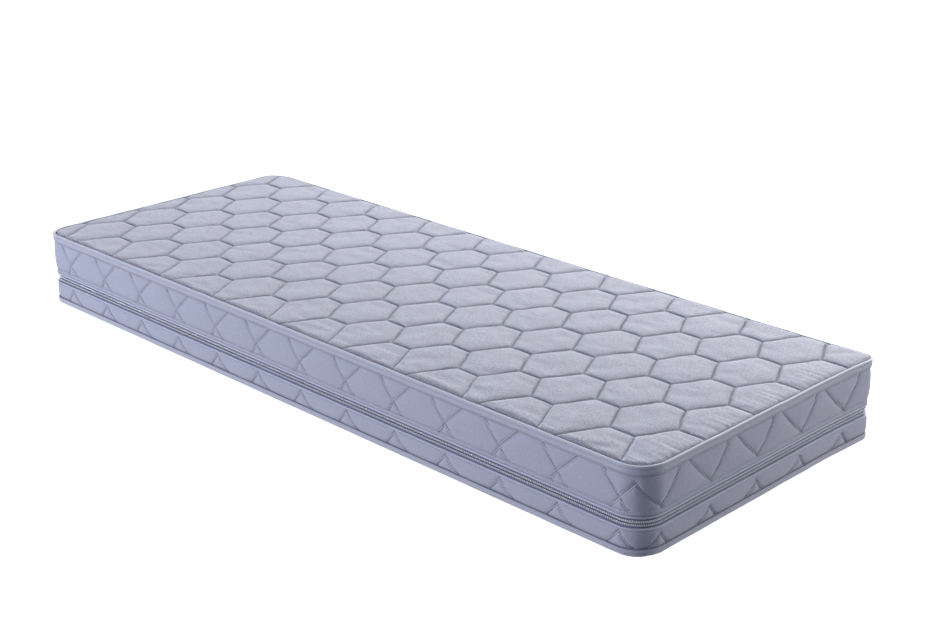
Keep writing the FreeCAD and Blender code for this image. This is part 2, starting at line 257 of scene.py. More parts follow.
def place_copies(name, shape, centres, along, up):
    """One mesh of copies of a small shape: its X along `along`, its Z along `up`."""
    points, faces = shape
    along = along / np.linalg.norm(along, axis=1, keepdims=True)
    side = np.cross(up, along)
    side /= np.linalg.norm(side, axis=1, keepdims=True)
    up = np.cross(along, side)
    placed = (centres[:, None, :] + points[None, :, :1] * along[:, None, :]
              + points[None, :, 1:2] * side[:, None, :] + points[None, :, 2:] * up[:, None, :])
    everything = []
    for k in range(len(centres)):
        shift = k * len(points)
        everything.extend([tuple(i + shift for i in face) for face in faces])
    return new_mesh(name, placed, everything)


def spaced(path, pitch):
    """Evenly spaced points along a polyline of 2-D points, half a pitch in from its ends."""
    path = np.asarray(path, float)
    steps = np.linalg.norm(np.diff(path, axis=0), axis=1)
    total = np.concatenate([[0], np.cumsum(steps)])
    count = max(1, int(round(total[-1] / pitch)))
    at = (np.arange(count) + 0.5) * total[-1] / count
    points = np.stack([np.interp(at, total, path[:, i]) for i in (0, 1)], axis=-1)
    ends = np.stack([np.interp(at + pitch / 4, total, path[:, i]) for i in (0, 1)], axis=-1)
    return points, ends - points


def border_stitches(name, paths, surface, pitch, radius, lift=0.0):
    """Stitches along paths of (distance round, height), lying on surface(s, z) -> inset."""
    centres, along, up = [], [], []
    for path in paths:
        points, ahead = spaced(path, pitch)
        s, z = points.T
        _, _, nx, ny = outline(s)
        centres.append(on_border(s, surface(s, z) - lift, z))
        along.append(np.stack([-ny * ahead[:, 0], nx * ahead[:, 0], ahead[:, 1]], axis=-1))
        up.append(np.stack([nx, ny, 0 * nx], axis=-1))
    shape = stitch_shape(pitch, radius)
    return place_copies(name, shape, np.concatenate(centres), np.concatenate(along), np.concatenate(up))


# ---------------------------------------------------------------- hexagon quilting

def drift(x, y):
    """How far the quilting strays from a perfect pattern, which is machine-sewn on soft cloth."""
    dx = 2.2 * MM * smooth_noise(x, y, 50 * MM, 1) + 2.2 * MM * smooth_noise(x, y, 240 * MM, 2)
    dy = 2.2 * MM * smooth_noise(x, y, 50 * MM, 3) + 2.2 * MM * smooth_noise(x, y, 240 * MM, 4)
    return dx, dy


def triangle_wave(t):
    """1 at whole numbers and -1 half-way between, with slightly rounded peaks."""
    wave = 1 - 4 * np.abs(t - np.floor(t) - 0.5)
    return -np.sign(wave) * (np.abs(wave) - 0.06 * np.abs(wave) ** 12)


ZIGZAG = (CELL_X / 2 - CELL_FLAT) / 2
LAST_TURN = QUILT_Y0 - 4.5 * CELL_Y


def zigzag(k, y):
    """X of the zigzag seam between columns k and k + 1 of the quilting, at distances y across.

    Below the last flat seams on the near side it runs straight on into the edge.
    """
    middle = QUILT_X0 + (k + 0.5) * CELL_X / 2
    beyond = np.clip(LAST_TURN - y, 0, None)
    heading = np.where(k % 2 == 0, -1, 1) * 4 * ZIGZAG / CELL_Y
    wave = triangle_wave((np.maximum(y, LAST_TURN) - QUILT_Y0) / CELL_Y + (k % 2) / 2)
    return middle - ZIGZAG * wave - heading * beyond


SLANT = 1 / math.hypot(1, 4 * ZIGZAG / CELL_Y)


def seam_distances(x, y):
    """Distances to the nearest zigzag seams left and right, and to the flat seams below and above."""
    dx, dy = drift(x, y)
    x, y = x - dx, y - dy
    k = np.round((x - QUILT_X0) / (CELL_X / 2)).astype(int)
    k = np.where(x < zigzag(k - 1, y), k - 1, k)
    k = np.where(x >= zigzag(k, y), k + 1, k)
    left = (x - zigzag(k - 1, y)) * SLANT
    right = (zigzag(k, y) - x) * SLANT
    turn = (y - QUILT_Y0) / CELL_Y + (k % 2) / 2
    row = np.floor(turn)
    below = (turn - row) * CELL_Y
    above = CELL_Y - below
    lowest = QUILT_Y0 + (row - (k % 2) / 2) * CELL_Y < LAST_TURN + 1 * MM
    above = np.where(y < LAST_TURN, above + CELL_Y, above)
    below = np.where(lowest, CELL_Y, below)
    return left, right, below, above, k, row


def rise(distance, width):
    """How far the cloth has risen from a seam, from 0 at the seam to 1."""
    distance = np.clip(distance, 0, None)
    return 1 - 0.6 * np.exp(-distance / (0.27 * width)) - 0.4 * np.exp(-distance / (1.7 * width))


def corner_radius(x, y):
    """Roundness of the corner nearest to each point."""
    near = np.where(x < 0, CORNERS[0], CORNERS[1])
    return np.where(y < 0, near, np.where(x < 0, CORNERS[3], CORNERS[2]))


def edge_distance(x, y, inset):
    """Distance inwards from the rounded outline at that inset."""
    radius = corner_radius(x, y) - inset
    qx = np.abs(x) - (LENGTH / 2 - inset - radius)
    qy = np.abs(y) - (WIDTH / 2 - inset - radius)
    outside = np.hypot(np.clip(qx, 0, None), np.clip(qy, 0, None))
    return radius - outside - np.clip(np.maximum(qx, qy), None, 0)


def quilt_rise(x, y, shoulder):
    """0 on every seam and about 1 in the middle of every cell of the quilting."""
    left, right, below, above, _, _ = seam_distances(x, y)
    return (rise(left, shoulder) * rise(right, shoulder)
            * rise(below, shoulder) * rise(above, shoulder))


def creases(x, y):
    """Shallow slack folds that run along X, just inside each cell's +Y seam."""
    left, right, _, above, column, row = seam_distances(x, y)
    total = np.zeros_like(x)
    for fold, (away, width, deep) in enumerate(((13, 3.0, 1.5), (24, 3.8, 1.2), (37, 4.0, 0.6))):
        wander = 3.0 * smooth_noise(column * 0.37 + x * 9, row * 0.61 + fold, 0.31, 11 + fold)
        strength = 0.55 + 0.45 * smooth_noise(column * 0.53 + fold, row * 0.47, 0.29, 21 + fold)
        across = (above / MM - away - wander) / width
        along = smoothstep(2 * MM, 16 * MM, right) * smoothstep(30 * MM, 62 * MM, left)
        total += deep * strength * np.exp(-across ** 2) * along
    return total * MM


def warp_corner(x, y, inset):
    """Bend the square corners of a rectangle of points round the outline's rounded corners."""
    radius = corner_radius(x, y) - inset
    cx, cy = LENGTH / 2 - inset - radius, WIDTH / 2 - inset - radius
    p = np.clip((np.abs(x) - cx) / radius, 0, 1)
    q = np.clip((np.abs(y) - cy) / radius, 0, 1)
    inside = (p > 0) & (q > 0)
    new_x = np.where(inside, np.sign(x) * (cx + radius * p * np.sqrt(1 - q * q / 2)), x)
    new_y = np.where(inside, np.sign(y) * (cy + radius * q * np.sqrt(1 - p * p / 2)), y)
    return new_x, new_y


def near_seam_spacing(width, offsets, middle):
    """Fractions across a width: close together at both ends, even in between."""
    inner = np.linspace(offsets[-1], width - offsets[-1], middle + 1)
    return np.concatenate([offsets[:-1], inner, (width - offsets[:-1])[::-1]]) / width


def quilt_grid(inset, offsets, middle_x, middle_y, coarse):
    """Points over the panel whose grid lines follow the hexagon seams."""
    half_x, half_y = LENGTH / 2 - inset, WIDTH / 2 - inset
    flat_margin, zigzag_margin = 6 * MM, ZIGZAG + 8 * MM
    levels = []
    level = QUILT_Y0 - math.floor((QUILT_Y0 + half_y) / (CELL_Y / 2)) * CELL_Y / 2
    while level <= half_y - flat_margin:
        levels.append(level)
        level += CELL_Y / 2
    levels = [y for y in levels if y > LAST_TURN - 1 * MM]
    rows = list(np.linspace(-half_y, levels[0], max(2, int((levels[0] + half_y) / coarse)))[:-1])
    between = near_seam_spacing(CELL_Y / 2, offsets, middle_y)[:-1]
    for level in levels[:-1]:
        rows.extend(level + between * CELL_Y / 2)
    rows.extend(np.linspace(levels[-1], half_y, max(2, int((half_y - levels[-1]) / coarse))))
    rows = np.array(rows)
    k_low = math.ceil((-half_x + zigzag_margin - QUILT_X0) / (CELL_X / 2) - 0.5)
    k_high = math.floor((half_x - zigzag_margin - QUILT_X0) / (CELL_X / 2) - 0.5)
    columns = []
    first_seam = zigzag(k_low, rows)
    count = max(2, int((first_seam.mean() + half_x) / coarse))
    columns.extend(-half_x + (first_seam + half_x) * t for t in np.linspace(0, 1, count)[:-1])
    for k in range(k_low, k_high):
        left, right = zigzag(k, rows), zigzag(k + 1, rows)
        width = right - left
        inner = np.linspace(0, 1, middle_x + 1)
        fixed = [left + d for d in offsets[:-1]]
        fixed += [left + offsets[-1] + (width - 2 * offsets[-1]) * t for t in inner]
        fixed += [right - d for d in offsets[:0:-1][1:]]
        columns.extend(fixed)
    last_seam = zigzag(k_high, rows)
    count = max(2, int((half_x - last_seam.mean()) / coarse))
    columns.extend(last_seam + (half_x - last_seam) * t for t in np.linspace(0, 1, count))
    x = np.stack(columns, axis=1)
    y = np.broadcast_to(rows[:, None], x.shape)
    dx, dy = drift(x, y)
    fade = smoothstep(0, 25 * MM, np.minimum(half_x - np.abs(x), half_y - np.abs(y)))
    return warp_corner(x + dx * fade, y + dy * fade, inset)


def closed_slab(name, x, y, top, bottom, attributes=None, bottom_grid=False):
    """A closed piece from a grid of points: a top of given heights, and a flat bottom or a second grid."""
    rows, columns = x.shape
    points = np.stack([x, y, top], -1).reshape(-1, 3)
    faces = [face[::-1] for face in grid_faces(rows, columns)]
    ring = grid_rim(rows, columns)
    if bottom_grid:
        shift = len(points)
        points = np.concatenate([points, np.stack([x, y, bottom], -1).reshape(-1, 3)])
        faces += [[i + shift for i in face[::-1]] for face in faces]
        lower = ring + shift
    else:
        edge = points[ring].copy()
        edge[:, 2] = bottom
        lower = np.arange(len(ring)) + len(points)
        points = np.concatenate([points, edge])
        faces.append([int(i) for i in lower[::-1]])
    upper_next, lower_next = np.roll(ring, -1), np.roll(lower, -1)
    faces += np.stack([ring, lower, lower_next, upper_next], -1).tolist()
    if attributes:
        extra = len(points) - x.size
        attributes = {k: np.concatenate([v.ravel(), np.zeros(extra)]) for k, v in attributes.items()}
    return new_mesh(name, points, faces, attributes=attributes)


def seam_attributes(x, y):
    """How close each point is to a slanted or a flat seam, from 0 to 1, for the puckers and shade."""
    left, right, below, above, _, _ = seam_distances(x, y)
    reach = 4.2 * MM
    slanted = np.exp(-np.minimum(left, right) / reach)
    flat = np.exp(-np.minimum(below, above) / reach)
    return {"slanted_seam": slanted, "flat_seam": flat}


# how far from a seam the grid lines beside it run, on the top panel, the bottom panel and the linings
FINE = np.array([0, 1.3, 2.8, 4.8, 8, 12.5]) * MM
MEDIUM = np.array([0, 1.6, 4, 8]) * MM
COARSE = np.array([0, 3, 8]) * MM


def panel_height(x, y):
    """Height of the top panel's surface."""
    edge = edge_distance(x, y, PANEL_INSET)
    crown = HEIGHT + 1.0 * MM
    seam_depth = 5.0 * MM
    body = quilt_rise(x, y, 8.5 * MM)
    press = 1 - np.exp(-np.clip(edge, 0, None) / (3.0 * MM))
    soft = 0.7 * MM * smooth_noise(x, y, 70 * MM, 5) + 0.35 * MM * smooth_noise(x, y, 26 * MM, 6)
    height = crown - seam_depth * (1 - body) + soft * body - creases(x, y) * body
    end_face = np.clip(LENGTH / 2 - PANEL_INSET - x, 0, None)
    gathers = np.sin(y / (9 * MM) * math.pi + 3 * smooth_noise(x * 0.2, y, 30 * MM, 7))
    height += 0.6 * MM * gathers * np.exp(-(end_face / (48 * MM)) ** 2) * body
    rim = HEIGHT - 11 * MM
    return rim + (height - rim) * press


def hex_paths(inset):
    """The hexagon seams inside the panel, as polylines."""
    half_x, half_y = LENGTH / 2 - inset, WIDTH / 2 - inset
    paths = []
    y = np.linspace(-half_y, half_y, 400)
    k_low = math.floor((-half_x - QUILT_X0) / (CELL_X / 2)) - 1
    k_high = math.ceil((half_x - QUILT_X0) / (CELL_X / 2)) + 1
    for k in range(k_low, k_high + 1):
        paths.append(np.stack([zigzag(k, y), y], -1))
        level = QUILT_Y0 - (k % 2) * CELL_Y / 2
        level -= math.ceil((level - half_y) / CELL_Y) * CELL_Y
        while level > LAST_TURN + 1 * MM:
            centre = QUILT_X0 + k * CELL_X / 2
            x = np.linspace(centre - CELL_FLAT / 2, centre + CELL_FLAT / 2, 12)
            paths.append(np.stack([x, 0 * x + level], -1))
            level -= CELL_Y
    return paths


def panel_stitches(name, surface, upward, inset, pitch, radius):
    """Stitches along every hexagon seam, lying on surface(x, y) -> z and facing up or down."""
    centres, along = [], []
    for path in hex_paths(inset):
        points, ahead = spaced(path, pitch)
        dx, dy = drift(points[:, 0], points[:, 1])
        points = points + np.stack([dx, dy], -1)
        keep = edge_distance(points[:, 0], points[:, 1], inset) > 3 * MM
        points, ahead = points[keep], ahead[keep]
        if len(points):
            z = surface(points[:, 0], points[:, 1])
            centres.append(np.column_stack([points, z]))
            along.append(np.column_stack([ahead, 0 * z]))
    centres, along = np.concatenate(centres), np.concatenate(along)
    up = np.broadcast_to([0, 0, 1.0 if upward else -1.0], centres.shape)
    return place_copies(name, stitch_shape(pitch, radius), centres, along, up)


def swell(x, y, z, free, pressure, slack, cap):
    """Let a skin of cloth, sewn down along its seams, settle under a little pressure from the filling.

    The skin is a grid of points; free is 0 where it is sewn down and 1 where it can move.
    """
    rows, columns = x.shape
    start = np.stack([x, y, z], -1)
    skin = new_mesh("skin", start, [face[::-1] for face in grid_faces(rows, columns)])
    group = skin.vertex_groups.new(name="sewn")
    sewn = np.round(1 - free.ravel(), 1)
    for weight in np.unique(sewn[sewn > 0]):
        group.add(np.nonzero(sewn == weight)[0].tolist(), float(weight), "REPLACE")
    cloth = skin.modifiers.new("cloth", "CLOTH")
    settings = cloth.settings
    settings.vertex_group_mass = "sewn"
    settings.quality = 3
    settings.mass = 0.25
    settings.tension_stiffness = 12
    settings.compression_stiffness = 12
    settings.shear_stiffness = 4
    settings.bending_stiffness = 0.6
    settings.air_damping = 4
    settings.use_pressure = True
    settings.uniform_pressure_force = pressure
    settings.shrink_min = -slack
    settings.effector_weights.gravity = 0
    cloth.collision_settings.use_collision = False
    scene = bpy.context.scene
    for number in range(1, 21):
        scene.frame_set(number)
    settled = skin.evaluated_get(bpy.context.evaluated_depsgraph_get()).data
    end = np.empty(3 * x.size, np.float32)
    settled.vertices.foreach_get("co", end)
    scene.frame_set(1)
    bpy.data.objects.remove(skin)
    moved = cap * np.tanh((end.reshape(start.shape) - start) / cap)
    return np.moveaxis(start + moved, -1, 0)


def top_panel():
    """The quilted top panel: ticking over wadding, its grid following the seams."""
    x, y = quilt_grid(PANEL_INSET - 1.5 * MM, FINE, 11, 9, 4.5 * MM)
    z = panel_height(x, y)
    attributes = seam_attributes(x, y)
    rim = edge_distance(x, y, PANEL_INSET)
    left, right, below, above, _, _ = seam_distances(x, y)
    # a painted highlight along the edge of each cell's +Y half, and painted shade down beside the binding,
    # both carried in the fold attribute
    far_half = smoothstep(0.42 * CELL_Y, 0.58 * CELL_Y, below)
    highlight_middle, highlight_width, binding_shade_width = 3.6 * MM, 2.4 * MM, 4.0 * MM
    cell_edge_highlight = far_half * np.exp(-((np.minimum(left, above) - highlight_middle) / highlight_width) ** 2)
    attributes["fold"] = cell_edge_highlight - 0.9 * np.exp(-(np.clip(rim, 0, None) / binding_shade_width) ** 2)
    seam = np.minimum(np.minimum(left, right), np.minimum(below, above))
    free = smoothstep(0.8 * MM, 4 * MM, np.minimum(seam, rim))
    x, y, z = swell(x, y, z, free, pressure=0.05, slack=0.006, cap=1.1 * MM)
    wadding_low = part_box("top_panel_wadding")[0].z
    piece = closed_slab("top_panel_quilt", x, y, z, wadding_low, attributes=attributes)
    stand_for(piece, "cover_top", "panel_ticking", "top_panel_ticking", "top_panel_wadding")
    thread = panel_stitches("top_panel_thread", lambda px, py: panel_height(px, py) + 0.3 * MM, True,
                            PANEL_INSET, STITCH_PITCH, 0.75 * MM)
    stand_for(thread, "cover_top", "panel_ticking")
    return piece, thread


# ---------------------------------------------------------------- quilted borders

def border_motifs():
    """Each motif of the borders' quilting, in order round the mattress.

    A motif is its place, the height of its low point, and how far its left and right arms run.
    """
    crossings = np.arange(-6, 7) * 152.5 * MM
    points = np.arange(0, 5) * 151.9 * MM
    long_sides = np.concatenate([on_side(0, 25.5 * MM) + crossings, on_side(2, 25.5 * MM) + crossings])
    short_sides = np.concatenate([on_side(1, -332.5 * MM) + points, on_side(3, 302 * MM) + points])
    found = [(s, 120 * MM, 43 * MM, 52 * MM) for s in long_sides]
    found += [(s, 98 * MM, 75 * MM, 54 * MM) for s in short_sides]
    return sorted(found)


def bent(start, end, bulge, count=7):
    """A gently curved line between two points, bulging to its left by that fraction of its length."""
    start, end = np.array(start, float), np.array(end, float)
    t = np.linspace(0, 1, count)[:, None]
    ahead = end - start
    side = np.array([-ahead[1], ahead[0]])
    return start + ahead * t + side * bulge * 4 * t * (1 - t)


def upper_seams():
    """The upper border's quilting seams, as lines of (distance round, height)."""
    seams = []
    top = TAPE_LOW + 3 * MM
    motifs = border_motifs()
    for this, following in zip(motifs, motifs[1:] + motifs[:1]):
        place, low, _, right = this
        next_low, next_left = following[1:3]
        gap = (following[0] - place) % PERIMETER
        climb, fall = (top - low) / right, (top - next_low) / next_left
        meet = (next_low - low + fall * gap) / (climb + fall)
        up_run, down_run = min(right, meet), min(next_left, gap - meet)
        seams.append(bent((place + up_run, low + climb * up_run), (place, low), 0.03))
        start = place + gap
        seams.append(bent((start - down_run, next_low + fall * down_run), (start, next_low), -0.04))
        if low > 100 * MM:
            seams.append(bent((place, low), (place - 19 * MM, UPPER_STITCH), 0.05))
            seams.append(bent((place, low), (place + 23 * MM, UPPER_STITCH), -0.05))
        else:
            seams.append(bent((place, low), (place + 6 * MM, UPPER_STITCH), 0.0, 3))
    return seams


def lower_seams():
    """The lower border's quilting seams."""
    seams = []
    foot = BOTTOM_TAPE - 1 * MM
    for place, low, _, _ in border_motifs():
        on_long_side = low > 100 * MM
        peak = (place, LOWER_STITCH - 5 * MM) if on_long_side else (place + 2 * MM, 41 * MM)
        left, right = (27, 36) if on_long_side else (36, 25)
        seams.append(bent(peak, (place - left * MM, foot), 0.04))
        seams.append(bent(peak, (place + right * MM, foot), -0.05))
    return seams


def distance_to(seams, s, z):
    """Shortest distance from each point of a strip to any of the seams."""
    nearest = np.full(s.shape, 1.0)
    reach = 40 * MM
    for seam in seams:
        for a, b in zip(seam[:-1], seam[1:]):
            middle = (a[0] + b[0]) / 2
            away = np.abs((s - middle + PERIMETER / 2) % PERIMETER - PERIMETER / 2)
            close = away < abs(b[0] - a[0]) / 2 + reach
            local = (s[close] - middle + PERIMETER / 2) % PERIMETER - PERIMETER / 2 + middle
            ahead = b - a
            t = ((local - a[0]) * ahead[0] + (z[close] - a[1]) * ahead[1]) / ahead.dot(ahead)
            t = np.clip(t, 0, 1)
            gap = np.hypot(local - a[0] - t * ahead[0], z[close] - a[1] - t * ahead[1])
            nearest[close] = np.minimum(nearest[close], gap)
    return nearest


def through(points, z):
    """Smooth curve of inset against height through a few (height, inset) points in mm."""
    heights, insets = np.array(sorted(points)).T * MM
    slopes = np.gradient(insets, heights)
    i = np.clip(np.searchsorted(heights, z) - 1, 0, len(heights) - 2)
    span = heights[i + 1] - heights[i]
    t = np.clip((z - heights[i]) / span, 0, 1)
    return ((2 * t ** 3 - 3 * t ** 2 + 1) * insets[i] + (t ** 3 - 2 * t ** 2 + t) * span * slopes[i]
            + (3 * t ** 2 - 2 * t ** 3) * insets[i + 1] + (t ** 3 - t ** 2) * span * slopes[i + 1])


# the borders' faces, as (height, inset) points in mm, from the binding to the hem or from the hem down
UPPER_SHAPE = [(170, 5.6), (166, 5.3), (162.5, 3.8), (157, 2.4), (147, 1.5), (128, 1.0), (108, 1.6),
               (97, 2.8), (90.5, 5.0), (87, 3.6), (84.5, 3.4), (82.5, 5.4), (80.5, 3.0), (78.2, 2.6),
               (76.8, 4.2)]
LOWER_SHAPE = [(55.8, 4.4), (55.2, 3.0), (54.4, 2.4), (53.5, 3.0), (52.2, 5.2), (49, 2.9), (40, 1.8),
               (30, 1.5), (21, 1.9), (16.8, 3.0), (14.2, 5.2), (11, 6.0)]


def border_inset(shape, seams, quilted_low, quilted_high, seed):
    """A function of (s, z) giving the border's face: its shape, its seams' grooves and soft dents."""
    def inset(s, z, away=None):
        away = distance_to(seams, s, z) if away is None else away
        quilted = smoothstep(quilted_low, quilted_low + 4 * MM, z) * (
            1 - smoothstep(quilted_high, quilted_high + 3 * MM, z))
        groove = 4.6 * MM * (1 - rise(away, 8 * MM)) * quilted
        soft = 0.8 * MM * smooth_noise(s, z, 75 * MM, seed, PERIMETER)
        soft += 0.35 * MM * smooth_noise(s, z, 24 * MM, seed + 1, PERIMETER) * quilted
        return through(shape, z) + groove + soft * 0.7
    return inset


UPPER_SEAMS = upper_seams()
LOWER_SEAMS = lower_seams()
upper_inset = border_inset(UPPER_SHAPE, UPPER_SEAMS, UPPER_STITCH - 2 * MM, TAPE_LOW, 31)
lower_inset = border_inset(LOWER_SHAPE, LOWER_SEAMS, BOTTOM_TAPE - 3 * MM, LOWER_STITCH - 3 * MM, 41)


def fold_lines(z, lines):
    """Where highlight and shade are painted on folded cloth: 1 for a painted highlight along each ridge, -1
    for painted shade along each crease, from (height, sign, width).
    """
    total = np.zeros(np.shape(z))
    for height, sign, width in lines:
        total += sign * np.exp(-((z - height * MM) / (width * MM)) ** 2)
    return np.clip(total, -1, 1)


# (height, sign, width) of the borders' folds, in mm: painted shade under the binding and down the creases
# beside the hems and the bottom binding, painted highlights along the hems' edges
UPPER_FOLDS = [(165.4, -1, 1.2), (82.5, -0.8, 0.9), (79.6, 0.9, 1.3), (76.2, -1, 0.9)]
LOWER_FOLDS = [(55.2, 1.0, 1.1), (14.2, -0.8, 1.1)]


def level_row(z):
    """A path all the way round at one height."""
    s = np.linspace(0, PERIMETER, 400)
    return np.stack([s, 0 * s + z], -1)


def border(side, body, heights, inset_of, seams, stitch_row, folds, inside, step):
    """A padded border swept round the mattress, and its quilting thread with the topstitching.

    Its face runs through the heights, and inside lists the (inset, height) points, in mm, of the hem
    turned in and of the flat back.
    """
    count = int(round(PERIMETER / step))
    s = np.arange(count) * PERIMETER / count
    s_grid, z_grid = np.meshgrid(s, heights, indexing="ij")
    away = distance_to(seams, s_grid, z_grid)
    inset = inset_of(s_grid, z_grid, away)
    turned = np.array(inside) * MM
    s_back, in_back = np.meshgrid(s, turned[:, 0], indexing="ij")
    z_back = np.broadcast_to(turned[:, 1], s_back.shape)
    points = np.concatenate([on_border(s_grid, inset, z_grid), on_border(s_back, in_back, z_back)], 1)
    columns = points.shape[1]
    blank = np.zeros(s_back.shape)
    near = np.concatenate([np.exp(-away / (3.5 * MM)), blank], axis=1)
    row = np.exp(-np.abs(z_grid - stitch_row) / (2.2 * MM))
    # the seam attributes set the puckers and the painted shade and highlights along the seams and the
    # topstitching; fold sets the painted highlights and shade on the folds
    attributes = {"slanted_seam": near, "flat_seam": np.concatenate([row, blank], axis=1),
                  "fold": np.concatenate([fold_lines(z_grid, folds), blank], axis=1),
                  "along": np.concatenate([s_grid, s_back], axis=1)}
    faces = grid_faces(count, columns, wrap_rows=True, wrap_columns=True)
    if heights[0] < heights[-1]:
        faces = [face[::-1] for face in faces]
    piece = new_mesh(f"{side}_border_quilt", points, faces, attributes=attributes)
    stand_for(piece, body, "border_ticking", f"{side}_border_ticking", f"{side}_border_wadding")
    thread = border_stitches(f"{side}_border_thread", seams + [level_row(stitch_row)], inset_of,
                             STITCH_PITCH, 0.75 * MM, lift=0.2 * MM)
    stand_for(thread, body, "border_ticking")
    return piece, thread


def upper_border():
    """The upper border, from the binding down to its hem."""
    heights = np.concatenate([np.linspace(170, 92.6, 28), np.linspace(91.6, 76.8, 20)]) * MM
    inside = [(5.8, 76.2), (8.8, 76.6), (8.8, 91), (12.5, 91), (12.5, 170)]
    return border("upper", "cover_top", heights, upper_inset, UPPER_SEAMS, UPPER_STITCH, UPPER_FOLDS,
                  inside, 3 * MM)


def lower_border():
    """The lower border, from the binding up to its hem."""
    heights = np.concatenate([np.linspace(11, 46, 16), np.linspace(47, 55.8, 13)]) * MM
    inside = [(5.8, 56.0), (8.8, 56.0), (8.8, 45.5), (12.5, 45.5), (12.5, 8.3), (4.4, 8.3)]
    return border("lower", "cover_bottom", heights, lower_inset, LOWER_SEAMS, LOWER_STITCH, LOWER_FOLDS,
                  inside, 2.4 * MM)


# ---------------------------------------------------------------- binding tapes

def rounded(points, depth=2):
    """Cut the corners of a closed profile a few times, so that it turns smoothly."""
    points = np.asarray(points, float)
    for _ in range(depth):
        after = np.roll(points, -1, axis=0)
        points = np.stack([0.75 * points + 0.25 * after, 0.25 * points + 0.75 * after], 1).reshape(-1, 2)
    return points


def ribbed(low, high, inset, ribs, depth):
    """Profile points up a tape's face with small ribs."""
    z = np.linspace(low, high, ribs * 4 + 1)
    wave = inset - depth * 0.5 * (1 - np.cos((z - low) / (high - low) * ribs * 2 * math.pi))
    return list(zip(wave, z))


def top_tape():
    """The top binding tape: a ribbed leg stitched over the border, and a bead over the panel's edge."""
    leg = [(4.6, 167.4), (3.6, 166.2), (2.2, 165.8), (1.3, 166.4), (1.6, 167.5), (3.0, 168.4), (1.9, 169.4)]
    leg += [(1.1, 170.2)] + ribbed(171.0, 177.2, 0.6, 3, 0.45) + [(0.9, 178.1), (1.6, 179.0), (2.0, 179.6)]
    bead = []
    for turn in np.radians(np.linspace(-62, 215, 16)):
        across, up = (math.copysign(abs(v) ** 0.75, v) for v in (math.cos(turn), math.sin(turn)))
        bead.append((3.3 - 3.3 * across, 183.6 + 3.4 * up))
    bead += [(5.2, 179.8), (5.0, 178.6)]
    profile = rounded(leg + bead, 1) * MM

    def wave(s, inset, z):
        soft = 0.5 * MM * smooth_noise(s, z * 0.2, 60 * MM, 51, PERIMETER)
        dip = 0.5 * MM * smooth_noise(s, z * 0, 45 * MM, 52, PERIMETER) - 0.2 * MM
        far = smoothstep(WIDTH / 2 - 50 * MM, WIDTH / 2, outline(s)[1])
        sag = 3.2 * MM * far * smoothstep(TAPE_LOW, HEIGHT - 4 * MM, z)
        return inset + 0.6 * soft + 0.3 * MM, z + dip - sag

    # painted shade under the tape's lower edge, along its stitch row and its middle crease, and a painted
    # highlight along the top of its bead
    lines = [(166.2, -0.9, 0.8), (168.4, -0.6, 0.7), (179.4, -0.3, 0.9), (187.0, 1.0, 1.5)]
    fold = fold_lines(profile[:, 1], lines)
    piece = sweep("top_edge_binding", profile, 4.8 * MM, fold, wave)
    stand_for(piece, "cover_top", "edge_tape", "top_edge_tape")
    row = border_stitches("top_binding_thread", [level_row(168.4 * MM)], lambda s, z: 2.6 * MM + 0 * s,
                          STITCH_PITCH, 0.65 * MM, lift=0.2 * MM)
    stand_for(row, "cover_top", "edge_tape")
    return piece, row


def bottom_tape():
    """The bottom binding tape, stitched over the lower border's edge."""
    face = [(5.6, 12.4), (3.6, 13.2), (2.2, 13.1), (1.4, 12.3), (1.9, 11.1), (1.0, 10.2)]
    face += ribbed(9.4, 2.6, 0.8, 3, 0.35)
    face += [(0.9, 1.4), (1.8, 0.3), (3.4, 0.0), (4.8, 0.4), (6.0, 3.0)]
    profile = rounded(face, 1) * MM

    def wave(s, inset, z):
        soft = 0.4 * MM * smooth_noise(s, z * 0.2, 70 * MM, 53, PERIMETER)
        return inset + soft + 0.2 * MM, z

    # painted shade along the tape's top where it meets the border, and a painted highlight on its rounded
    # edge just below
    fold = fold_lines(profile[:, 1], [(13.2, -0.9, 0.9), (12.0, 0.5, 0.6)])
    piece = sweep("bottom_edge_binding", profile, 5 * MM, fold, wave)
    stand_for(piece, "cover_bottom", "edge_tape", "bottom_edge_tape")
    row = border_stitches("bottom_binding_thread", [level_row(11.1 * MM)], lambda s, z: 1.6 * MM + 0 * s,
                          4.2 * MM, 0.4 * MM, lift=0.1 * MM)
    stand_for(row, "cover_bottom", "edge_tape")
    return piece, row


# ---------------------------------------------------------------- zip

def coil_tooth(tall, wide, deep):
    """One loop of the coil: a rounded bar standing across the zip."""
    around = 8
    levels = [(-0.5, 0.0), (-0.47, 0.55), (-0.36, 0.92), (0.3, 0.94), (0.43, 1.05), (0.5, 0.6)]
    points = [(0, 0, -0.5 * tall)]
    for z, width in levels[1:]:
        for k in range(around):
            angle = 2 * math.pi * (k + 0.5) / around
            points.append((width * wide / 2 * math.cos(angle), width * deep / 2 * math.sin(angle), z * tall))
    points.append((0, 0, 0.53 * tall))
    return np.array(points), spindle_faces(len(levels) - 1, around)


def zip_bulge(s):
    """How far the zip bulges out between the padded borders; the slider's own side is straight."""
    return 0.8 * MM * smoothstep(20 * MM, 80 * MM, outline(s)[0] - LOW[0])


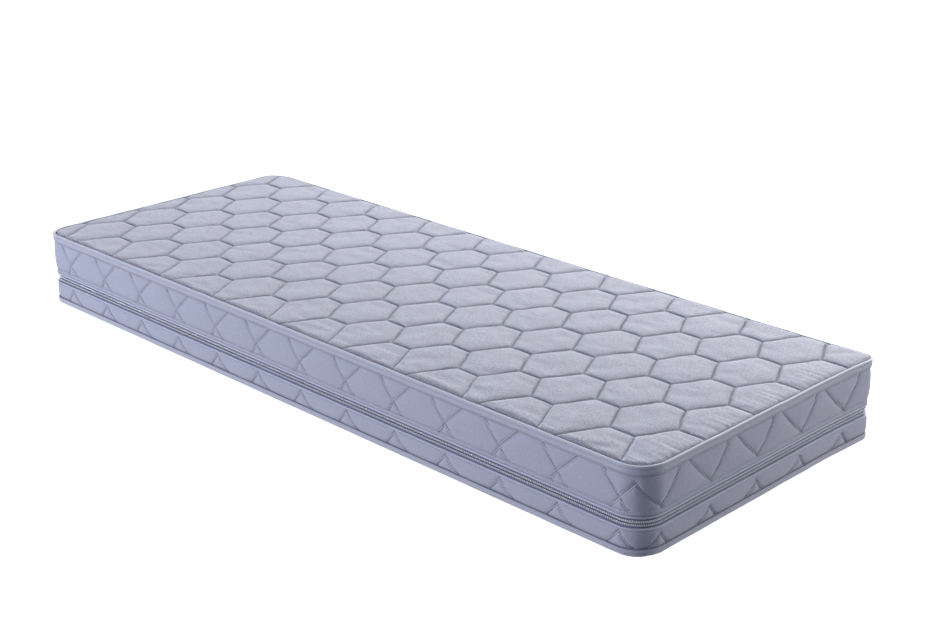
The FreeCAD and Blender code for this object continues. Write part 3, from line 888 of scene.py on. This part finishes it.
def coil(name, node, body, inwards, phase):
    """A row of coil: loops standing side by side all round, their heads towards the zip's middle."""
    low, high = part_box(node)
    pitch = 4.6 * MM
    count = int(PERIMETER / pitch)
    s = (np.arange(count) + phase) * PERIMETER / count
    if inwards < 0:
        s = s[np.abs(s - PARK_MIDDLE) > PARK_REACH + 0.6 * MM]
    _, _, nx, ny = outline(s)
    over_tape = 0.4 * MM
    tall = high.z - low.z + over_tape
    middle = (low.z + high.z) / 2 - inwards * over_tape / 2
    inset = (HIGH[0] - high.x) + 1.2 * MM - zip_bulge(s)
    centres = on_border(s, inset, middle + 0 * s)
    along = np.stack([-ny, nx, 0.16 + 0 * nx], -1) * (1 if inwards > 0 else -1)
    up = np.stack([0 * s, 0 * s, inwards + 0 * s], -1)
    shape = coil_tooth(tall, 3.4 * MM, 2.6 * MM)
    teeth = place_copies(name, shape, centres, along, up)
    stand_for(teeth, body, "zip_coil", node)
    return teeth


def zip_tape(name, node, body, park):
    """A woven tape that carries a row of coil, with its edge folded back where the slider parks."""
    low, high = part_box(node)
    inside = HIGH[0] - high.x
    heights = np.linspace(low.z, high.z, 11)
    profile = [(inside, z) for z in heights] + [(inside + 0.95 * MM, z) for z in heights[::-1]]
    hem = UPPER_HEM - 0.4 * MM

    def wave(s, inset, z):
        ripple = 0.12 * MM * smooth_noise(s, z, 30 * MM, 55, PERIMETER)
        if park:
            beside = np.abs(s - PARK_MIDDLE) < PARK_REACH
            lifted = hem + (z - low.z) * (high.z - hem) / (high.z - low.z)
            z = np.where(beside, lifted, z)
        return inset + ripple + 0.12 * MM - zip_bulge(s), z

    piece = sweep(name, profile, 3 * MM, wave=wave)
    stand_for(piece, body, "zip_tape", node)
    return piece


def zip_parts():
    """Both coils, the tapes they are sewn to, and the slider with its bridge, pull tab and stop."""
    zip_tape("upper_zip_ribbon", "upper_zip_tape", "cover_top", True)
    zip_tape("lower_zip_ribbon", "lower_zip_tape", "cover_bottom", False)
    coil("upper_coil_loops", "upper_zip_coil", "cover_top", -1, 0.5)
    coil("lower_coil_loops", "lower_zip_coil", "cover_bottom", 1, 0.0)
    for node in ("slider_body", "slider_bridge", "pull_tab", "zip_end_stop"):
        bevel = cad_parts[node].modifiers.new("soft_edges", "BEVEL")
        bevel.width = 0.25 * MM
        bevel.segments = 3
        bevel.limit_method = "ANGLE"


# ---------------------------------------------------------------- lining, bottom panel, sleeve, foam

def flat_grid(inset, step):
    """An even grid over the mattress at that inset, bent round the corners."""
    half_x, half_y = LENGTH / 2 - inset, WIDTH / 2 - inset
    x, y = np.meshgrid(np.linspace(-half_x, half_x, int(2 * half_x / step)),
                       np.linspace(-half_y, half_y, int(2 * half_y / step)))
    return warp_corner(x, y, inset)


def lining_panel(name, node, body, quilting_above):
    """Non-woven lining of a quilted panel, dimpled along the quilting seams."""
    low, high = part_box(node)
    inset = HIGH[0] - high.x
    x, y = quilt_grid(inset, COARSE, 8, 6, 9 * MM)
    dimple = (1.2 if quilting_above else -1.2) * MM * (1 - quilt_rise(x, y, 9 * MM))
    piece = closed_slab(name, x, y, high.z + dimple, low.z + dimple, bottom_grid=True)
    stand_for(piece, body, "backing", node)
    return piece


def bottom_panel():
    """The quilted bottom panel, pressed flat by the mattress's weight."""
    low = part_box("bottom_panel_ticking")[0].z
    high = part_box("bottom_panel_wadding")[1].z
    inset = HIGH[0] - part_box("bottom_panel_ticking")[1].x + 0.6 * MM

    def underside(x, y):
        press = rise(edge_distance(x, y, inset), 5 * MM)
        return low + 2.6 * MM * (1 - quilt_rise(x, y, 7 * MM)) + 1.5 * MM * (1 - press)

    # it's made upside down, by the slab maker for a top, and then turned over
    x, y = quilt_grid(inset, MEDIUM, 9, 7, 6 * MM)
    piece = closed_slab("bottom_panel_quilt", x, -y, -underside(x, y), -high,
                        attributes=seam_attributes(x, y))
    points = np.empty(len(piece.data.vertices) * 3, np.float32)
    piece.data.vertices.foreach_get("co", points)
    points = points.reshape(-1, 3) * np.array([1, -1, -1])
    piece.data.vertices.foreach_set("co", points.astype(np.float32).ravel())
    stand_for(piece, "cover_bottom", "panel_ticking", "bottom_panel_ticking", "bottom_panel_wadding")
    thread = panel_stitches("bottom_panel_thread", lambda px, py: underside(px, py) - 0.2 * MM, False,
                            inset, 5.2 * MM, 0.4 * MM)
    stand_for(thread, "cover_bottom", "panel_ticking")
    return piece, thread


def border_lining(name, node, body):
    """Non-woven lining behind a border."""
    low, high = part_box(node)
    inside = (HIGH[0] - high.x) / MM
    z_low, z_high = low.z / MM, high.z / MM
    heights = np.linspace(z_low, z_high, 9)
    profile = [(inside, z) for z in heights] + [(inside + 0.75, z) for z in heights[::-1]]

    def wave(s, inset, z):
        return inset - 0.2 * MM * (1 + smooth_noise(s, z, 40 * MM, 61, PERIMETER)), z

    piece = sweep(name, np.array(profile) * MM, 9 * MM, wave=wave)
    stand_for(piece, body, "backing", node)
    return piece


def soft_block(name, node, body, step, edge, seed, dents, slot, sides=9):
    """A block with rounded edges and a slightly uneven surface, in the space of a CAD solid."""
    low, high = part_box(node)
    inset = HIGH[0] - high.x
    x, y = flat_grid(inset + edge, step)
    rows, columns = x.shape
    bumps = dents * smooth_noise(x, y, 90 * MM, seed) - dents
    top = np.stack([x, y, high.z + bumps], -1).reshape(-1, 3)
    bottom = np.stack([x, y, low.z + 0 * bumps], -1).reshape(-1, 3)
    ring = grid_rim(rows, columns)
    faces = [face[::-1] for face in grid_faces(rows, columns)]
    under = [[i + len(top) for i in face[::-1]] for face in faces]
    points = [top, bottom]
    edge_xy = top[ring, :2]
    ahead = np.roll(edge_xy, -1, axis=0) - np.roll(edge_xy, 1, axis=0)
    out = np.stack([ahead[:, 1], -ahead[:, 0]], -1)
    out /= np.linalg.norm(out, axis=1, keepdims=True)
    loops = [ring]
    size = len(top) + len(bottom)
    angles = np.linspace(0, math.pi / 2, 5)[1:]
    levels = [(edge * math.sin(a), high.z - edge * (1 - math.cos(a))) for a in angles]
    middle = np.linspace(high.z - edge, low.z + edge, sides)[1:-1]
    levels += [(edge, z) for z in middle]
    levels += [(edge * math.sin(a), low.z + edge * (1 - math.cos(a))) for a in angles[::-1]]
    around = edge_xy[:, 0] + edge_xy[:, 1]
    for reach, z in levels:
        shift = dents * 0.5 * (smooth_noise(around, z + 0 * around, 60 * MM, seed) - 1)
        place = edge_xy + out * (reach + shift[:, None])
        points.append(np.column_stack([place, np.full(len(ring), z)]))
        loops.append(size + np.arange(len(ring)))
        size += len(ring)
    loops.append(ring + len(top))
    for upper, lower in zip(loops[:-1], loops[1:]):
        faces += np.stack([upper, lower, np.roll(lower, -1), np.roll(upper, -1)], -1).tolist()
    piece = new_mesh(name, np.concatenate(points), faces + under)
    stand_for(piece, body, slot, node)
    return piece


# ---------------------------------------------------------------- materials

class Nodes:
    """A small builder for node materials."""

    def __init__(self, name):
        self.material = bpy.data.materials.new(name)
        self.material.use_nodes = True
        self.tree = self.material.node_tree
        self.shader = self.tree.nodes["Principled BSDF"]

    def add(self, kind, settings=None, **inputs):
        node = self.tree.nodes.new(kind)
        for key, value in (settings or {}).items():
            setattr(node, key, value)
        for key, value in inputs.items():
            socket = node.inputs[int(key[1:])] if key[0] == "i" and key[1:].isdigit() else node.inputs[key]
            if isinstance(value, bpy.types.NodeSocket):
                self.tree.links.new(value, socket)
            else:
                socket.default_value = value
        return node

    def link(self, output, socket):
        self.tree.links.new(output, self.shader.inputs[socket])

    def constants(self, values):
        for socket, value in values.items():
            self.shader.inputs[socket].default_value = value

    def math(self, operation, a, b=0.0):
        return self.add("ShaderNodeMath", {"operation": operation}, i0=a, i1=b).outputs[0]

    def mix(self, factor, a, b):
        node = self.add("ShaderNodeMix", {"data_type": "RGBA"}, i0=factor, i6=a, i7=b)
        return node.outputs[2]

    def place(self):
        return self.add("ShaderNodeTexCoord").outputs["Object"]

    def noise(self, where, scale, detail=2.0):
        return self.add("ShaderNodeTexNoise", None, Vector=where, Scale=scale, Detail=detail).outputs["Fac"]

    def cells(self, where, scale):
        found = self.add("ShaderNodeTexVoronoi", {"feature": "F1"}, Vector=where, Scale=scale)
        return found.outputs["Distance"]

    def attribute(self, name):
        return self.add("ShaderNodeAttribute", {"attribute_name": name}).outputs["Fac"]

    def folds(self, base, colour):
        """Painted highlight along each ridge of the fold attribute and painted shade down each crease."""
        fold = self.attribute("fold")
        ridge = self.math("MAXIMUM", self.math("MULTIPLY", fold, 0.9), 0.0)
        crease = self.math("MAXIMUM", self.math("MULTIPLY", fold, -0.75), 0.0)
        return self.mix(crease, self.mix(ridge, base, tinted(colour, 1.45)), tinted(colour, 0.2))

    def bump(self, height, distance, strength=1.0, normal=None):
        node = self.add("ShaderNodeBump", None, Height=height, Distance=distance, Strength=strength)
        if normal is not None:
            self.tree.links.new(normal, node.inputs["Normal"])
        return node.outputs["Normal"]


def grey(value):
    """An opaque grey."""
    return (value, value, value, 1)


def tinted(colour, factor):
    """A colour made paler or darker by a factor."""
    return tuple(min(1, c * factor) for c in colour) + (1,)


def knit(name, colour, border=False, fleck=0.12):
    """Knitted ticking: fine stitches, a melange of two yarns, and puckers along its quilting seams."""
    n = Nodes(name)
    where = n.place()
    yarn = n.noise(where, 320, 3)
    yarn = n.math("ADD", n.math("MULTIPLY", n.math("SUBTRACT", yarn, 0.5), 3.6), 0.5)
    cloud = n.noise(where, 9, 2)
    base = n.mix(yarn, tinted(colour, 1 - fleck), tinted(colour, 1 + fleck))
    base = n.mix(n.math("MULTIPLY", cloud, 0.12), base, tinted(colour, 0.86))
    loops = n.cells(where, 460.0)
    fuzz = n.noise(where, 1500, 2)
    height = n.math("ADD", n.math("MULTIPLY", loops, -0.9), n.math("MULTIPLY", fuzz, 0.5))
    normal = n.bump(height, 0.3 * MM if border else 0.55 * MM, 0.6)
    split = n.add("ShaderNodeSeparateXYZ", None, Vector=where)
    slanted, flat = n.attribute("slanted_seam"), n.attribute("flat_seam")
    turn = 2 * math.pi / STITCH_PITCH
    if border:
        run = n.attribute("along")
        diagonal = turn * 0.7071
        rungs = n.math("MULTIPLY", n.math("SINE", n.math("MULTIPLY", run, diagonal)),
                       n.math("SINE", n.math("MULTIPLY", split.outputs["Z"], diagonal)))
    else:
        run = split.outputs["X"]
        rungs = n.math("SINE", n.math("MULTIPLY", split.outputs["Y"], turn / SLANT))
    rungs = n.math("MULTIPLY", rungs, slanted)
    dots = n.math("MULTIPLY", n.math("SINE", n.math("MULTIPLY", run, turn)), flat)
    pucker = n.math("ADD", rungs, n.math("MULTIPLY", dots, 0.5))
    normal = n.bump(pucker, 1.4 * MM, 1.0, normal)
    # painted shade down each seam's groove and on the raised phase of the stitch puckers
    seam = n.math("POWER", n.math("MAXIMUM", slanted, flat), 4.6)
    shade = n.math("MULTIPLY", seam, 0.45)
    pucker_shade = n.math("MAXIMUM", n.math("MULTIPLY", pucker, 0.3 if border else 0.5), 0.0)
    base = n.mix(n.math("ADD", shade, pucker_shade), base, tinted(colour, 0.14))
    # painted highlights on the sunk phase of the stitch puckers
    pucker_highlight = n.math("MAXIMUM", n.math("MULTIPLY", pucker, -0.4 if border else -0.8), 0.0)
    base = n.mix(pucker_highlight, base, tinted(colour, 1.45))
    base = n.folds(base, colour)
    n.link(base, "Base Color")
    n.link(normal, "Normal")
    n.constants({"Roughness": 0.92, "Specular IOR Level": 0.25,
                 "Sheen Weight": 0.3, "Sheen Roughness": 0.5})
    return n.material


def woven(name, colour, scale, rough=0.85):
    """Woven tape: ribs along it and a fine cross weave."""
    n = Nodes(name)
    where = n.place()
    split = n.add("ShaderNodeSeparateXYZ", None, Vector=where)
    ribs = n.math("SINE", n.math("MULTIPLY", split.outputs["Z"], scale * 2 * math.pi))
    picks = n.cells(where, scale)
    yarn = n.noise(where, scale * 0.6, 3)
    base = n.mix(yarn, tinted(colour, 0.88), tinted(colour, 1.10))
    base = n.mix(n.math("MULTIPLY", picks, 0.35), base, tinted(colour, 0.72))
    base = n.folds(base, colour)
    height = n.math("ADD", n.math("MULTIPLY", ribs, 0.35), n.math("MULTIPLY", picks, -1.0))
    n.link(base, "Base Color")
    n.link(n.bump(height, 0.3 * MM, 0.5), "Normal")
    n.constants({"Roughness": rough, "Specular IOR Level": 0.3, "Sheen Weight": 0.12})
    return n.material


def thread(name, colour):
    """Twisted sewing thread."""
    n = Nodes(name)
    where = n.place()
    twist = n.add("ShaderNodeTexWave", {"wave_type": "BANDS", "bands_direction": "DIAGONAL"}, Vector=where,
                  Scale=700.0, Distortion=1.0).outputs["Fac"]
    n.link(n.mix(twist, tinted(colour, 0.85), tinted(colour, 1.1)), "Base Color")
    n.link(n.bump(twist, 0.1 * MM, 0.6), "Normal")
    n.constants({"Roughness": 0.55, "Sheen Weight": 0.1})
    return n.material


def plastic(name, colour):
    """Satin polyester monofilament of the coil, slightly scuffed."""
    n = Nodes(name)
    where = n.place()
    wear = n.noise(where, 240, 3)
    n.link(n.mix(wear, tinted(colour, 0.9), tinted(colour, 1.12)), "Base Color")
    n.link(n.bump(n.noise(where, 1800, 2), 0.08 * MM, 0.4), "Normal")
    n.constants({"Roughness": 0.28, "Specular IOR Level": 0.7, "Coat Weight": 0.9, "Coat Roughness": 0.15})
    return n.material


def cast_metal(name, colour):
    """Die-cast metal under satin paint, worn a little."""
    n = Nodes(name)
    where = n.place()
    wear = n.noise(where, 420, 4)
    n.link(n.mix(wear, tinted(colour, 0.85), tinted(colour, 1.15)), "Base Color")
    n.link(n.bump(n.noise(where, 1500, 2), 0.06 * MM, 0.5), "Normal")
    n.constants({"Metallic": 0.75, "Roughness": 0.36})
    return n.material


def felt(name, colour):
    """Non-woven lining: bonded fibres with a grid of small weld dots."""
    n = Nodes(name)
    where = n.place()
    fibres = n.noise(where, 900, 4)
    dots = n.cells(where, 420.0)
    n.link(n.mix(fibres, tinted(colour, 0.92), tinted(colour, 1.03)), "Base Color")
    n.link(n.bump(n.math("ADD", fibres, n.math("MULTIPLY", dots, 0.8)), 0.25 * MM, 0.5), "Normal")
    n.constants({"Roughness": 0.9, "Sheen Weight": 0.1})
    return n.material


def jersey(name, colour):
    """Thin stretch jersey with fine wales."""
    n = Nodes(name)
    where = n.place()
    split = n.add("ShaderNodeSeparateXYZ", None, Vector=where)
    wales = n.math("SINE", n.math("MULTIPLY", split.outputs["Y"], 2 * math.pi / (2.2 * MM)))
    loops = n.cells(where, 700.0)
    pull = n.noise(where, 14, 3)
    n.link(n.mix(pull, tinted(colour, 0.9), tinted(colour, 1.04)), "Base Color")
    height = n.math("ADD", n.math("MULTIPLY", wales, 0.3), loops)
    n.link(n.bump(height, 0.3 * MM, 0.45), "Normal")
    n.constants({"Roughness": 0.88, "Sheen Weight": 0.15})
    return n.material


def foam(name, colour, cell):
    """Cut foam: open cells of a given size and slight yellowing."""
    n = Nodes(name)
    where = n.place()
    cells = n.cells(where, 1 / cell)
    age = n.noise(where, 5, 3)
    n.link(n.mix(n.math("MULTIPLY", cells, 0.7), tinted(colour, 1.03), tinted(colour, 0.72)), "Base Color")
    n.link(n.bump(n.math("ADD", cells, n.math("MULTIPLY", age, 0.4)), cell * 0.5, 0.7), "Normal")
    n.constants({"Roughness": 0.95, "Subsurface Weight": 0.08, "Subsurface Scale": 3 * MM})
    return n.material


TICKING_COLOUR = (0.538, 0.551, 0.63)
BORDER_COLOUR = (0.53, 0.555, 0.66)
TAPE_COLOUR = (0.61, 0.635, 0.735)

MATERIALS = {
    "panel": knit("panel_knit", TICKING_COLOUR, fleck=0.21),
    "border": knit("border_knit", BORDER_COLOUR, border=True, fleck=0.06),
    "thread": thread("quilting_thread", (0.74, 0.77, 0.88)),
    "border_thread": thread("border_thread", (0.66, 0.69, 0.80)),
    "edge_tape": woven("binding_weave", TAPE_COLOUR, 900.0),
    "zip_tape": woven("zip_weave", (0.22, 0.23, 0.33), 1200.0),
    "coil": plastic("coil_plastic", (0.82, 0.87, 1.0)),
    "metal": cast_metal("painted_die_cast", (0.50, 0.52, 0.62)),
    "lining": felt("lining_felt", (0.86, 0.86, 0.87)),
    "sleeve": jersey("sleeve_jersey", (0.90, 0.90, 0.89)),
    "memory_foam": foam("memory_foam", (0.90, 0.86, 0.72), 0.6 * MM),
    "transition_foam": foam("transition_foam", (0.66, 0.76, 0.84), 1.1 * MM),
    "support_foam": foam("support_foam", (0.93, 0.91, 0.86), 1.5 * MM),
}


def paint(piece, key):
    """Give a piece one of the materials."""
    piece.data.materials.clear()
    piece.data.materials.append(MATERIALS[key])


def paint_node(node, key):
    """Give a carried-over CAD node one of the materials."""
    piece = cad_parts[node]
    if not piece.material_slots:
        piece.data.materials.append(MATERIALS[key])
    for slot in piece.material_slots:
        slot.material = MATERIALS[key]


# ---------------------------------------------------------------- light, floor and camera

def look(start, end):
    """Rotation that points a light or camera's -Z from start to end."""
    return (Vector(end) - Vector(start)).to_track_quat("-Z", "Y").to_euler()


def area_light(name, place, target, width, height, watts, colour):
    """A rectangular studio light that points at a target."""
    light = bpy.data.lights.new(name, "AREA")
    light.shape = "RECTANGLE"
    light.size = width
    light.size_y = height
    light.energy = watts
    light.color = colour
    lamp = bpy.data.objects.new(name, light)
    lamp.location = place
    lamp.rotation_euler = look(place, target)
    bpy.context.scene.collection.objects.link(lamp)


# the dome's colour and strength, and each light's place, target, width, height, watts and colour
DOME = ((0.80, 0.83, 1.0, 1), 0.17)
LIGHTS = (
    ("key", (-1.0, 5.5, 2.6), (0, 0, 0.1), 1.4, 1.0, 440, (0.96, 0.965, 1.0)),
    ("left", (-3.9, -5.2, 1.1), (0.2, -0.39, 0.1), 1.4, 0.6, 292, (0.85, 0.875, 1.0)),
    ("right", (2.4, 2.8, 0.9), (1.0, 0.3, 0.1), 1.0, 0.5, 58, (1.0, 0.95, 0.94)),
    ("front", (4.0, -3.0, 1.0), (0.9, -0.3, 0.1), 1.4, 0.5, 14, (0.80, 0.84, 1.0)),
)


def world_light():
    """A white studio all round: bright to the camera, a soft dim dome to the mattress."""
    world = bpy.data.worlds.new("studio")
    bpy.context.scene.world = world
    world.use_nodes = True
    tree = world.node_tree
    dome = tree.nodes["Background"]
    dome.inputs["Color"].default_value = DOME[0]
    dome.inputs["Strength"].default_value = DOME[1]
    seen = tree.nodes.new("ShaderNodeBackground")
    seen.inputs["Color"].default_value = (1, 1, 1, 1)
    path = tree.nodes.new("ShaderNodeLightPath")
    mix = tree.nodes.new("ShaderNodeMixShader")
    tree.links.new(path.outputs["Is Camera Ray"], mix.inputs[0])
    tree.links.new(dome.outputs[0], mix.inputs[1])
    tree.links.new(seen.outputs[0], mix.inputs[2])
    tree.links.new(mix.outputs[0], tree.nodes["World Output"].inputs[0])


def studio_floor():
    """A plain pale floor."""
    reach, level = 30.0, -1 * MM
    corners = [(-reach, -reach, level), (reach, -reach, level), (reach, reach, level), (-reach, reach, level)]
    floor = new_mesh("floor", corners, [(0, 1, 2, 3)], smooth=False)
    n = Nodes("floor_white")
    n.constants({"Base Color": grey(0.9), "Emission Color": grey(1.0),
                 "Emission Strength": 0.9, "Roughness": 1.0})
    floor.data.materials.append(n.material)
    floor.visible_diffuse = False
    floor.visible_transmission = False


def camera():
    """The camera, above and beyond the corner between the near side and the near end."""
    eye = bpy.data.cameras.new("camera")
    eye.sensor_width = 36
    eye.lens = 62.3
    holder = bpy.data.objects.new("camera", eye)
    holder.location = (2.624, -2.488, 1.509)
    turn, tip = math.radians(134.57), math.radians(21.05)
    ahead = (math.cos(turn) * math.cos(tip), math.sin(turn) * math.cos(tip), -math.sin(tip))
    target = [a + b for a, b in zip(holder.location, ahead)]
    holder.rotation_euler = look(holder.location, target)
    bpy.context.scene.collection.objects.link(holder)
    bpy.context.scene.camera = holder


def stage_scene():
    """The world, the floor, the camera and the lights."""
    scene = bpy.context.scene
    scene.view_settings.view_transform = "Standard"
    world_light()
    studio_floor()
    camera()
    for lamp in LIGHTS:
        area_light(*lamp)


# ---------------------------------------------------------------- the mattress

def build():
    """Make every piece and give it its material."""
    pairs = [top_panel(), upper_border(), lower_border(), top_tape(), bottom_tape(), bottom_panel()]
    skins = ["panel", "border", "border", "edge_tape", "edge_tape", "panel"]
    threads = ["thread", "border_thread", "border_thread", "border_thread", "border_thread", "thread"]
    for (skin, sewing), skin_key, thread_key in zip(pairs, skins, threads):
        paint(skin, skin_key)
        paint(sewing, thread_key)
    zip_parts()
    for name in ("upper_coil_loops", "lower_coil_loops"):
        paint(bpy.data.objects[name], "coil")
    for name in ("upper_zip_ribbon", "lower_zip_ribbon"):
        paint(bpy.data.objects[name], "zip_tape")
    for node in ("slider_body", "slider_bridge", "pull_tab", "zip_end_stop"):
        paint_node(node, "metal")
    paint(lining_panel("top_panel_lining", "top_panel_backing", "cover_top", True), "lining")
    paint(lining_panel("bottom_panel_lining", "bottom_panel_backing", "cover_bottom", False), "lining")
    paint(border_lining("upper_border_lining", "upper_border_backing", "cover_top"), "lining")
    paint(border_lining("lower_border_lining", "lower_border_backing", "cover_bottom"), "lining")
    paint(soft_block("jersey_sleeve", "inner_sleeve", "foam_core", 16 * MM, 5 * MM, 71, 0.25 * MM,
                     "sleeve_jersey"), "sleeve")
    for name, node, seed in (("memory_foam_block", "memory_foam_layer", 72),
                             ("transition_foam_block", "transition_foam_layer", 73),
                             ("support_foam_block", "support_foam_core", 74)):
        key = node.replace("_layer", "").replace("_core", "")
        piece = soft_block(name, node, "foam_core", 40 * MM, 4 * MM, seed, 0.15 * MM, key, sides=5)
        paint(piece, key)


stage_scene()
build()
